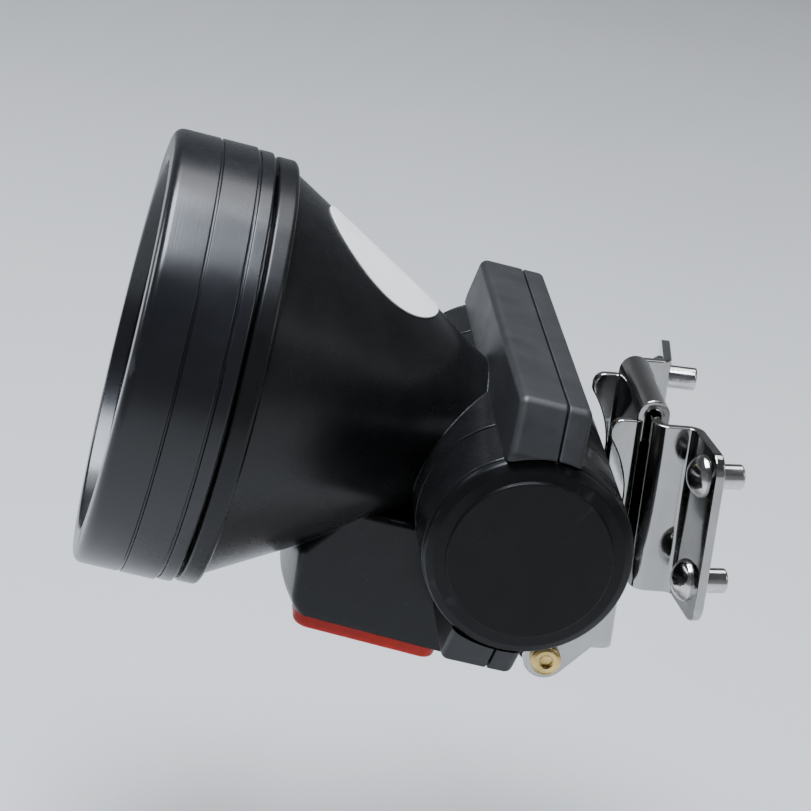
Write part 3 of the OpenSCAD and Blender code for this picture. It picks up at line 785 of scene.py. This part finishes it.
def window():
    """The lens and its gasket."""
    low, high, r = lens_low.x, lens_high.x, lens_r
    line = rounded(rod(low, high, r), 0.3, 5, closed=False)
    inner = [Vector((low, q)) for q in (8, 16)]
    outer = [Vector((high, q)) for q in (16, 8)]
    line = line[:1] + inner + line[1:-1] + outer + line[-1:]
    disc = solid(lathe(line, BEAM, X, LENS_TURN), clear_lens)
    settle(disc, "lens_window", HEAD, "lamp", ["lens"])
    seal_low, seal_high = extent("lens_seal", HEAD)
    hole_r = 23.3
    corners = [(seal_low.x, hole_r), (seal_low.x, r), (seal_high.x, r), (seal_high.x, hole_r)]
    ring = solid(lathe(rounded(corners, 0.25, 5), BEAM, X, closed=True), seal_rubber)
    settle(ring, "lens_gasket", HEAD, "lamp", ["lens_seal"])


def mirror():
    """A parabolic bowl with a hole for the light, and a rim that is held under the lens."""
    hole_r, edge_r, rim_r, steps = 4.0, 22.4, 24.8, 48
    start, seat = 16.5, 46.0
    rim_top = seat + 0.8
    rate = (seat - start) / edge_r ** 2
    radii = [hole_r + (edge_r - hole_r) * k / steps for k in range(steps + 1)]
    bowl = [Vector((start + rate * q * q, q)) for q in radii]
    rim = [
        bowl[-1], (rim_top, edge_r + 0.25), (rim_top, rim_r), (seat, rim_r),
        (seat - 0.1, edge_r + 0.8),
    ]
    rim = rounded(rim, [0, 0.3, 0.2, 0.1, 0], 5, closed=False)
    back = [Vector((start + rate * q * q - 0.25, q + 0.7)) for q in reversed(radii[:-2])]
    shell = lathe(bowl[:-1] + rim + back, BEAM, X, LENS_TURN, closed=True)
    shell = solid(shell, mirror_coat)
    settle(shell, "reflector_bowl", HEAD, "lamp", ["reflector"])


def light_chip():
    """The main light: a ceramic base, a yellow die and a clear dome."""
    low, high = extent("main_led", HEAD)
    base_half, die_half = (high.y - low.y) / 2, 0.95
    base_top = low.x + 0.9

    def square(half, radius):
        return [p + Vector((0, beam_z)) for p in box_outline(-half, -half, half, half, radius)]

    base = slab(square(base_half, 0.25), low.x, base_top, along_x, (0.05, 0.12))
    base = solid(base, white_ceramic)
    settle(base, "led_base", HEAD, "lamp", ["main_led"])
    die = slab(square(die_half, 0.1), base_top - 0.05, base_top + 0.14, along_x, (0.02, 0.04))
    settle(solid(die, phosphor), "led_phosphor", HEAD, "lamp", ["main_led"])
    r = high.x - base_top
    line = [(0, 0), (0, r * 0.985)] + [
        (r * math.sin(math.radians(a)), r * math.cos(math.radians(a))) for a in range(10, 90, 8)
    ] + [(r, 0)]
    dome = solid(lathe(line, Vector((base_top, 0, beam_z)), X, SMALL_TURN), clear_dome)
    settle(dome, "led_dome", HEAD, "lamp", ["main_led"])


def drum_caps():
    """Each cap has a flat face with a step round it, and a plug with a groove for its ring."""
    face, face_r = cap_high.y, 10.0
    inside, edge = cap_joint_y - 0.4, cap_joint_y + 0.12
    plug_r, groove_r, hollow_r = 11.05, 10.4, 9.7
    corners = [
        (inside, 0, 0), (face, 0, 0), (face, 5, 0), (face, face_r - 0.4, 0), (face, face_r, 0.16),
        (face - 0.38, face_r + 0.12, 0.08), (face - 0.62, 11.5, 0.8),
        (face - 1.25, drum_r - 0.28, 0.7), (edge, drum_r, 0.22), (edge, plug_r, 0),
        (27.5, plug_r, 0.1), (27.5, groove_r, 0.05), (26.7, groove_r, 0.05), (26.7, plug_r, 0.1),
        (25.8, plug_r, 0.2), (25.8, hollow_r, 0.1), (inside, hollow_r, 0.2),
    ]
    line = rounded([c[:2] for c in corners], [c[2] for c in corners], 7, closed=False)
    line = [Vector((inside, 0))] + line[1:] + [Vector((inside, 5))]
    left = lathe(line, DRUM, Y, closed=True)
    right = mirrored(left)
    for side, mesh in (("left", left), ("right", right)):
        cap = solid(mesh, cap_black)
        settle(cap, f"drum_cap_{side}", HEAD, "lamp", [f"{side}_drum_cap"])


def label():
    """A round film laid on the top of the cone."""
    centre_x, radius, lift, thick = 22.7, 8.3, 0.02, 0.2
    line = rounded(cone_line, [0, 30, 60, 0], 10, closed=False)

    def cone_r(x):
        for a, b in zip(line, line[1:]):
            if a.x <= x <= b.x:
                return a.y + (b.y - a.y) * (x - a.x) / max(b.x - a.x, 1e-9)
        return line[-1].y

    rings, turns = 22, 96
    levels = [(radius * k / rings, thick) for k in range(rings)]
    levels += [(radius - 0.05, thick), (radius, thick * 0.7), (radius, 0.0)]
    levels += [(radius * k / rings, 0.0) for k in range(rings - 1, -1, -1)]
    bm = bmesh.new()
    loops = []
    for size, height in levels:
        loop = []
        for k in range(turns if size > 1e-6 else 1):
            a = 2 * math.pi * k / turns
            x, y = centre_x + size * math.cos(a), size * math.sin(a)
            r = cone_r(x)
            slope = (cone_r(x + 0.2) - cone_r(x - 0.2)) / 0.4
            z = math.sqrt(r * r - y * y)
            out = Vector((-slope, y / r, z / r)).normalized()
            loop.append(bm.verts.new(Vector((x, y, z + beam_z)) + out * (lift + height)))
        loops.append(loop)
    for a, b in zip(loops, loops[1:]):
        skin(bm, a, b)
    film = solid(closed_up(bm), label_white)
    settle(film, "label_film", HEAD, "lamp", ["top_label"], even=False)


def push_pad():
    """The rubber pad: a crowned face that follows the pod's slope, and a stem up to the switch."""
    mid, half_x = (pad_low.x + pad_high.x) / 2, (pad_high.x - pad_low.x) / 2
    outline = box_outline(-half_x, -pad_high.y, half_x, pad_high.y, 2.0, 8)
    top = recess_z - 1.3
    slope = (pod_rear_z - pod_front_z) / pod_front
    crown, rim, top_rim = 0.3, 0.8, 0.2
    bm = bmesh.new()

    def under(p, height):
        """A point at that height above the underside, which follows the pod's slope."""
        x = mid + p.x
        return bm.verts.new((x, p.y, pad_low.z + height - slope * (x - pad_low.x)))

    loops = [[under(Vector((0, 0)), 0)]]
    for k in range(1, 9):
        size = math.sin(math.pi / 2 * k / 8)
        loops.append([under(p * size, crown * size ** 2.4) for p in inset(outline, rim)])
    for k in range(1, 7):
        a = math.pi / 2 * k / 6
        depth, height = rim * (1 - math.sin(a)), crown + rim * (1 - math.cos(a))
        loops.append([under(p, height) for p in inset(outline, depth)])
    loops.append([bm.verts.new((mid + p.x, p.y, top - top_rim)) for p in outline])
    loops.append([bm.verts.new((mid + p.x, p.y, top)) for p in inset(outline, top_rim)])
    for a, b in zip(loops, loops[1:]):
        skin(bm, a, b)
    bm.faces.new(loops[-1])
    root, end, stem_r, tip_r = top - 0.3, pad_high.z, 2.2, 1.5
    shoulder = end - 0.4
    stem = [
        (root, 0), (root, stem_r), (shoulder, stem_r), (shoulder, tip_r), (end, tip_r), (end, 0),
    ]
    stem = lathe(rounded(stem, 0.12, 4, closed=False), Vector((stem_x, 0, 0)), Z, SMALL_TURN)
    pad = solid(closed_up(bm), red_rubber)
    carve(pad, "UNION", solid(stem, red_rubber))
    settle(pad, "push_pad_cover", HEAD, "pad", ["push_pad"], sharp=40)


def contact_studs():
    """The two charging studs in the rear of the flange."""
    low, high = extent("charge_contacts", HEAD)
    face, under, head_r, stem_r = low.x, low.x + 1, 1.95, 0.85
    line = rounded(
        [
            (face + 0.12, 0), (face + 0.12, 0.7), (face, 1.0), (face, head_r), (under, head_r),
            (under, stem_r), (high.x, stem_r), (high.x, 0),
        ],
        [0, 0.2, 0.15, 0.3, 0.05, 0.05, 0.1, 0], 5, closed=False,
    )
    mid_z, edge = (low.z + high.z) / 2, 2
    studs = [
        lathe(line, Vector((0, y, mid_z)), X, SMALL_TURN) for y in (low.y + edge, high.y - edge)
    ]
    studs = solid(joined(*studs), polished_brass)
    settle(studs, "contact_studs", HEAD, "lamp", ["charge_contacts"])


def cover_screws():
    """Pan-head screws, each with a cross recess turned its own way."""
    low, high = extent("cover_screws", HEAD)
    face, under, head_r, thread_r = low.x, low.x + 1.3, 1.75, 0.97
    slot_half, slot_wide, slot_deep = 1.05, 0.2, 0.75
    line = rounded(
        [
            (face, 0), (face, 1.2), (face + 0.35, head_r), (under, head_r), (under, thread_r),
            (high.x - 0.6, thread_r), (high.x, 0.4), (high.x, 0),
        ],
        [0, 0.5, 0.3, 0.05, 0.1, 0.1, 0.1, 0], 5, closed=False,
    )
    bar = [
        (-slot_half, -slot_wide), (slot_half, -slot_wide), (slot_half, slot_wide),
        (-slot_half, slot_wide),
    ]
    bar = rounded(bar, 0.12, 3)
    screws = bmesh.new()
    for y, z in screw_sites:
        screw = solid(lathe(line, Vector((0, y, z)), X, SMALL_TURN), plain_zinc)
        turn = Matrix.Translation((0, y, z)) @ Matrix.Rotation(0.35 + y, 4, "X")
        slots = []
        for quarter in (0, math.pi / 2):
            slot = slab(bar, face - 0.5, face + slot_deep, along_x, (0, 0.1))
            slots.append(solid(moved(slot, turn @ Matrix.Rotation(quarter, 4, "X"))))
        carve(screw, "DIFFERENCE", *slots)
        screws.from_mesh(screw.data)
        bpy.data.objects.remove(screw)
    screws = solid(screws, plain_zinc)
    settle(screws, "cover_screw_set", HEAD, "lamp", ["cover_screws"])


# ---- bracket ----
plate_t, bend_in = 1.2, 0.8
bend_mid = bend_in + plate_t / 2
# The rivets stand square on the wings, so their axes give the wings' sweep.
pins = [m for m in frame["record"]["mounts"] if m["kind"] == "pin"]
sweep = math.asin(abs(pins[0]["axis"][1]) / Vector(pins[0]["axis"]).length)


def rivet_way(pin):
    """The way out of the helmet along a rivet."""
    return -Vector(pin["axis"]).normalized()


def bracket():
    """A sheet bent along its own middle line: bridge, cheek and wing, the same at both sides."""
    high = box_mm("bracket_plate")[1]
    channel_half, bridge_x, half_h = 12.9, high.x, high.z
    rivet_y, hole_r = 17.8, 2.02
    corner_y = channel_half - bend_in - plate_t
    corner_x = bridge_x - bend_in - plate_t
    # The wing's middle line, from its bend at wing_x, with lengths told from the rivets.
    wing_y = channel_half + bend_in
    wing_x = (bend_in + plate_t + math.sin(sweep) * (rivet_y - wing_y)) / math.cos(sweep)
    wing_from = -math.sin(sweep) * wing_x - math.cos(sweep) * (rivet_y - wing_y)
    wing_to = (high.y - plate_t * math.sin(sweep) - rivet_y) / math.cos(sweep)
    square, turn = math.pi / 2, math.pi / 2 - sweep
    runs = [
        (corner_y, 0), (bend_mid * square, square), (corner_x - wing_x, 0),
        (bend_mid * turn, -turn), (wing_to - wing_from, 0),
    ]
    reach = sum(length for length, _ in runs)
    outline = box_outline(-reach, -half_h, reach, half_h, 2.5, 10)
    sheet = slab(outline, -plate_t / 2, plate_t / 2, along_y, (0.22, 0.16), 4)
    marks = bend_stations(runs)
    divided(sheet, marks + [-m for m in marks])
    for v in sheet.verts:
        s, t, z = v.co
        x, y, heading = path_point((bridge_x - plate_t / 2, 0), square, runs, abs(s))
        x, y = x + t * math.sin(heading), y - t * math.cos(heading)
        v.co = (x, math.copysign(y, s), z)
    plate = solid(closed_up(sheet), nickel_sheet)
    drill = rod(-1, 5, hole_r)
    holes = [
        solid(lathe(drill, Vector(pin["pos_m"]) / MM, rivet_way(pin), SMALL_TURN)) for pin in pins
    ]
    carve(plate, "DIFFERENCE", *holes)
    settle(plate, "bracket_sheet", PART, "bracket", ["bracket_plate"])


def rivets():
    """Dome heads in front of the wings, and plain shanks behind them."""
    head_r, head_h, neck_r, shank_r, shank_end = 2.7, 1.9, 2.0, 1.6, -4
    rise = head_h - 0.25
    ball = (head_r ** 2 + rise ** 2) / (2 * rise)
    reach = math.asin(head_r / ball)
    top = plate_t + head_h
    dome = [
        Vector((top - ball + ball * math.cos(reach * k / 20), ball * math.sin(reach * k / 20)))
        for k in range(21)
    ]
    shank = rounded(
        [
            (plate_t, head_r), (plate_t, neck_r), (0.0, neck_r), (0.0, shank_r),
            (shank_end, shank_r), (shank_end, 0),
        ],
        [0.12, 0, 0.05, 0.05, 0.35, 0], 4, closed=False,
    )
    shapes = []
    for pin in pins:
        way = rivet_way(pin)
        base = Vector(pin["pos_m"]) / MM + way * pin["dims"]["length_mm"] / 2
        shapes.append(lathe(dome + shank, base, way, SMALL_TURN))
    rivet_set = solid(joined(*shapes), rivet_nickel)
    settle(rivet_set, "rivet_set", PART, "bracket", ["bracket_rivets"])


# ---- hanger ----
def hanger():
    """A channel with two cheeks, cut round the drum, and the hook folded over its back."""
    low, high = box_mm("hanger_plate")
    pivot = Vector(joint("lamp_tilt")["pos_m"]) / MM
    drum = HEAD.translation / MM
    cheek_half, t, round_out = high.y, 1.2, 1.5
    hook_half, cheek_top, bottom, clear_r = 8.5, 10.2, -21.6, 14.2
    front = low.x + 3.0
    hook_in = (front - (low.x + t)) / 2
    hook_z = high.z - hook_in - t
    flat = cheek_half - round_out
    fold = (round_out - t / 2) * math.pi / 2

    def to_s(x):
        """Distance along the unfolded sheet of a place on the cheek."""
        return flat + fold + x - (front + round_out)

    top_x, foot_x = front + 4.4, front + 2.8
    knee_angle = 247.5
    top_angle = math.degrees(math.acos((top_x - drum.x) / clear_r))
    knee = Vector((drum.x, drum.z)) + clear_r * polar(knee_angle)
    ear_steps, drum_steps, nose_r = 24, 30, 1.5
    side = [Vector((foot_x, bottom))]
    side += arc((pivot.x, pivot.z), ear_r, 224, 360, ear_steps)
    side += [knee + Vector((0.15, -0.5))]
    side += arc((drum.x, drum.z), clear_r, knee_angle, top_angle, drum_steps)
    side += [Vector((top_x, cheek_top))]
    radii = [1.6] + [0] * (ear_steps + 1) + [0.4] + [0] * drum_steps + [0.5, nose_r]
    half = [Vector((to_s(p.x), p.y)) for p in rounded(side, radii, 6, closed=False)]
    nose = arc((to_s(top_x) - nose_r, cheek_top - nose_r), nose_r, 0, 90, 8)
    half = half[:-1] + nose
    outline = half + [Vector((-p.x, p.y)) for p in reversed(half)]
    sheet = slab(outline, -t / 2, t / 2, along_y, (0.2, 0.2), 4)
    runs = [(flat, 0), (fold, math.pi / 2), (20, 0)]
    marks = bend_stations(runs[:2], 0.14)
    divided(sheet, marks + [-m for m in marks])
    for v in sheet.verts:
        s, depth, z = v.co
        # The sheet starts across the back and turns forward at each side.
        y, x, heading = path_point((0, front + t / 2), 0, runs, abs(s))
        y, x = y + depth * math.sin(heading), x - depth * math.cos(heading)
        v.co = (x, math.copysign(y, s), z)
    channel = solid(closed_up(sheet), nickel_hanger)

    leg, turn_r, shy = 14, hook_in + t / 2, 0.004
    hook_runs = [(leg, 0), (turn_r * math.pi, -math.pi), (hook_z - cheek_top + 3, 0)]
    length = sum(run for run, _ in hook_runs)
    corners = [(0, -hook_half), (length, -hook_half), (length, hook_half), (0, hook_half)]
    strip = slab(
        rounded(corners, [1.2, 0.3, 0.3, 1.2], 6), -t / 2 + shy, t / 2 - shy, along_z,
        (0.2, 0.2), 4,
    )
    divided(strip, bend_stations(hook_runs, 0.18))
    for v in strip.verts:
        s, y, depth = v.co
        x, z, heading = path_point((low.x + t / 2, hook_z - leg), math.pi / 2, hook_runs, s)
        v.co = (x + depth * math.sin(heading), y, z - depth * math.cos(heading))
    carve(channel, "UNION", solid(closed_up(strip), nickel_hanger))
    at = Vector((pivot.x, 0, pivot.z))
    carve(channel, "DIFFERENCE", solid(lathe(rod(-12, 12, pivot_r + 0.05), at, Y, SMALL_TURN)))
    settle(channel, "hanger_sheet", PART, "hanger", ["hanger_plate"])
    return at, cheek_half


def pivot_screw(at, cheek_half):
    """A button-head screw with a hex socket and a thread on its far end."""
    tip, top = (corner.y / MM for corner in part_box("pivot_screw"))
    head_r, pitch, socket_r, flare_r = 2.0, 0.5, 0.9, 1.12
    thread = []
    y = tip + 0.5
    while y < -cheek_half:
        thread += [(y, pivot_r), (y + pitch / 2, pivot_r - 0.22)]
        y += pitch
    line = [(tip, 0), (tip, pivot_r - 0.35)] + thread + [
        (-cheek_half + 0.2, pivot_r), (cheek_half, pivot_r), (cheek_half, head_r - 0.1),
    ]
    button = [
        (cheek_half, head_r - 0.3), (cheek_half, head_r), (top - 0.25, head_r),
        (top, head_r - 0.5), (top, 0),
    ]
    line += rounded(button, [0, 0.15, 0.3, 0.3, 0], 5, closed=False)[1:]
    screw = solid(lathe(line, at, Y, PIN_TURN), yellow_zinc)
    socket = [(top - 0.8, 0), (top - 0.7, socket_r), (top + 1, socket_r), (top + 1, 0)]
    flare = [
        (top - 0.14, 0), (top - 0.14, socket_r - 0.1), (top + 0.1, flare_r), (top + 1, flare_r),
        (top + 1, 0),
    ]
    carve(screw, "DIFFERENCE", solid(lathe(socket, at, Y, 6)), solid(lathe(flare, at, Y, 48)))
    settle(screw, "pivot_bolt", PART, "hanger", ["pivot_screw"])


def pivot_nut(at):
    """A hex nut with chamfered corners."""
    low, high = (corner.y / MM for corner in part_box("pivot_nut"))
    nut_r = 2.7
    edge_r, face_r, mouth_r = nut_r + 0.04, nut_r - 0.42, pivot_r + 0.35
    flats = [Vector((at.x, at.z)) + nut_r * polar(a) for a in range(0, 360, 60)]
    nut = solid(slab(rounded(flats, 0.15, 3), low, high, along_y, (0.04, 0.04)), plain_zinc)
    cone = [
        (low - 0.01, 0), (low - 0.01, face_r), (low + 0.35, edge_r), (high - 0.35, edge_r),
        (high + 0.01, face_r), (high + 0.01, 0),
    ]
    carve(nut, "INTERSECT", solid(lathe(cone, at, Y, PIN_TURN)))
    bore = [
        (low - 1, 0), (low - 1, mouth_r), (low + 0.3, pivot_r), (high - 0.3, pivot_r),
        (high + 1, mouth_r), (high + 1, 0),
    ]
    carve(nut, "DIFFERENCE", solid(lathe(bore, at, Y, PIN_TURN)))
    settle(nut, "pivot_hex_nut", PART, "hanger", ["pivot_nut"])


def pivot_washers(at):
    """A washer between the lug and each cheek."""
    inner, outer = 7.0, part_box("pivot_washers")[1].y / MM
    bore_r, edge_r = pivot_r + 0.02, 2.7
    corners = [(inner, bore_r), (inner, edge_r), (outer, edge_r), (outer, bore_r)]
    ring = lathe(rounded(corners, 0.15, 4), at, Y, PIN_TURN, closed=True)
    pair = solid(joined(mirrored(ring), ring), nylon)
    settle(pair, "pivot_washer_pair", PART, "hanger", ["pivot_washers"])


front_housing()
rear_cover()
bezel()
window()
mirror()
light_chip()
drum_caps()
label()
push_pad()
contact_studs()
cover_screws()
bracket()
rivets()
pivot_at, cheek_half = hanger()
pivot_screw(pivot_at, cheek_half)
pivot_nut(pivot_at)
pivot_washers(pivot_at)

# The pieces inside keep their CAD shape.
for node, look in {
    "pivot_bush": yellow_zinc, "housing_seals": seal_rubber, "drum_cap_seals": seal_rubber,
    "heat_sink": aluminium, "led_board": board_white, "led_screws": plain_zinc,
    "led_leads": red_wire, "battery_cell": cell_blue, "cell_terminal": nickel_strip,
    "cell_tabs": nickel_strip, "cell_pads": grey_foam, "protection_board": board_green,
    "battery_leads": red_wire, "driver_board": board_green, "driver_parts": part_black,
    "switch_body": part_black, "switch_plunger": ivory,
}.items():
    mesh = frame["nodes"][node].data
    mesh.materials.clear()
    mesh.materials.append(look)


# ---- stage, camera and light ----
def floor():
    """A pale floor that sweeps up into a backdrop all round."""
    drop, flat, curve_r, height = 69.2, 900, 500, 500
    level = HEAD.translation.z / MM - drop
    line = [(level, flat * k / 12) for k in range(13)]
    for a in range(6, 96, 6):
        way = polar(a)
        line.append((level + curve_r - curve_r * way.x, flat + curve_r * way.y))
    line.append((level + curve_r + height, flat + curve_r))
    floor_paint = finish(
        "floor_paint", (0.50, 0.50, 0.495), 0.6, tone=(0.97, 1.03), mottle=6, smudge=4,
        spread_by=0.05, grain=900, grain_depth=1.5e-5,
    )
    ground = solid(lathe(line, Vector((40, 0, 0)), Z, 96), floor_paint, "floor")
    ground.data.transform(PART)
    ground.data.shade_smooth()
    ground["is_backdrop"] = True


def aim(obj, target, up):
    """Turns a camera or light towards the target."""
    back = (obj.location - target).normalized()
    right = up.cross(back).normalized()
    obj.rotation_euler = Matrix((right, back.cross(right), back)).transposed().to_euler()


def camera():
    """The photograph's view: from the lamp's left and a little above, leaning slightly."""
    lean, place = math.radians(6.3), Vector((47.15, 317.81, 125.98))
    data = bpy.data.cameras.new("photo_view")
    view = bpy.data.objects.new("photo_view", data)
    bpy.context.scene.collection.objects.link(view)
    view.location = HEAD.translation + place * MM
    low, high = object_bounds()
    data.lens, data.sensor_width = 118, 36
    data.clip_start, data.clip_end = 0.01, 20
    aim(view, (low + high) / 2, Vector((math.sin(lean), 0, math.cos(lean))))
    bpy.context.scene.camera = view


LIT_POINT = Vector((0.03, 0, 0))


def lamp_light(name, place, size, power, color, up=Y):
    data = bpy.data.lights.new(name, "AREA")
    data.shape = "RECTANGLE"
    data.size, data.size_y = size
    data.energy, data.color = power, color
    light = bpy.data.objects.new(name, data)
    bpy.context.scene.collection.objects.link(light)
    light.location = place
    aim(light, LIT_POINT, up)


def studio():
    """Soft light from above, behind and in front, in a dim even surround."""
    world = bpy.data.worlds.new("studio")
    world.use_nodes = True
    back = world.node_tree.nodes["Background"]
    back.inputs["Color"].default_value = (0.80, 0.84, 0.88, 1)
    back.inputs["Strength"].default_value = 0.12
    bpy.context.scene.world = world
    lamp_light("overhead", (0.12, 0.02, 0.60), (0.32, 0.46), 12.0, (0.82, 0.89, 1.0))
    lamp_light("ceiling", (-0.1, -0.4, 0.95), (0.7, 0.5), 4.0, (0.97, 0.98, 1.0))
    lamp_light("rear_fill", (-0.6, 0.3, 0.45), (0.3, 0.4), 0.9, (1.0, 0.98, 0.95), Z)
    lamp_light("front_fill", (0.62, -0.18, 0.26), (0.28, 0.14), 1.2, (0.95, 0.98, 1.0), Z)


floor()
camera()
studio()
